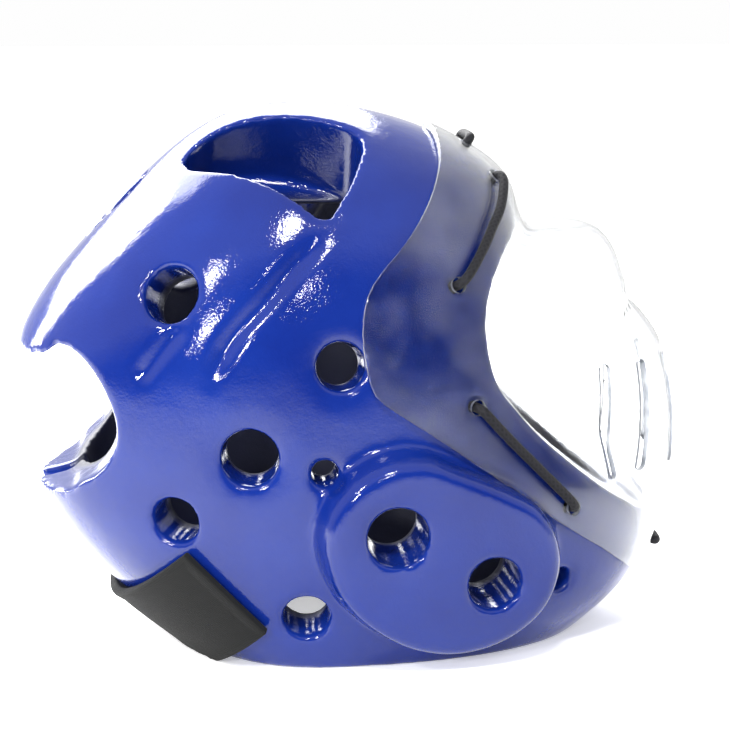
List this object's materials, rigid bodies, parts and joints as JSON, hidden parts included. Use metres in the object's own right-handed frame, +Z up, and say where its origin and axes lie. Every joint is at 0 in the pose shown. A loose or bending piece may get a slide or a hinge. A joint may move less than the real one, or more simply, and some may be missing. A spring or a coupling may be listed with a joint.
{
  "type": "martial arts headgear with face shield",
  "caption": "Dipped-foam martial arts headgear with crown and side vents, raised ear pads, open back, black strap and a clear face shield laced on with cord",
  "frame": {"origin": "centre of the headgear's box in X and Y, on the floor that it stands on", "axes": "+Z up to the crown, the face towards -Y, the wearer's right side towards -X, the left and right halves mirrored across the YZ plane"},
  "size_m": [0.231, 0.3092, 0.246],
  "materials": {
    "blue_foam": "glossy dipped vinyl skin over foam",
    "clear_plastic": "clear moulded plastic",
    "black_webbing": "black hook-and-loop strap",
    "black_cord": "black elastic cord"
  },
  "bodies": {
    "root": {"shell_right": "blue_foam", "shell_left": "blue_foam", "ear_pad_right": "blue_foam", "ear_pad_left": "blue_foam", "face_shield": "clear_plastic", "neck_strap": "black_webbing", "brow_lace": "black_cord", "temple_lace_right": "black_cord", "temple_lace_left": "black_cord", "cheek_lace_right": "black_cord", "cheek_lace_left": "black_cord", "chin_lace": "black_cord"}
  },
  "joints": []
}
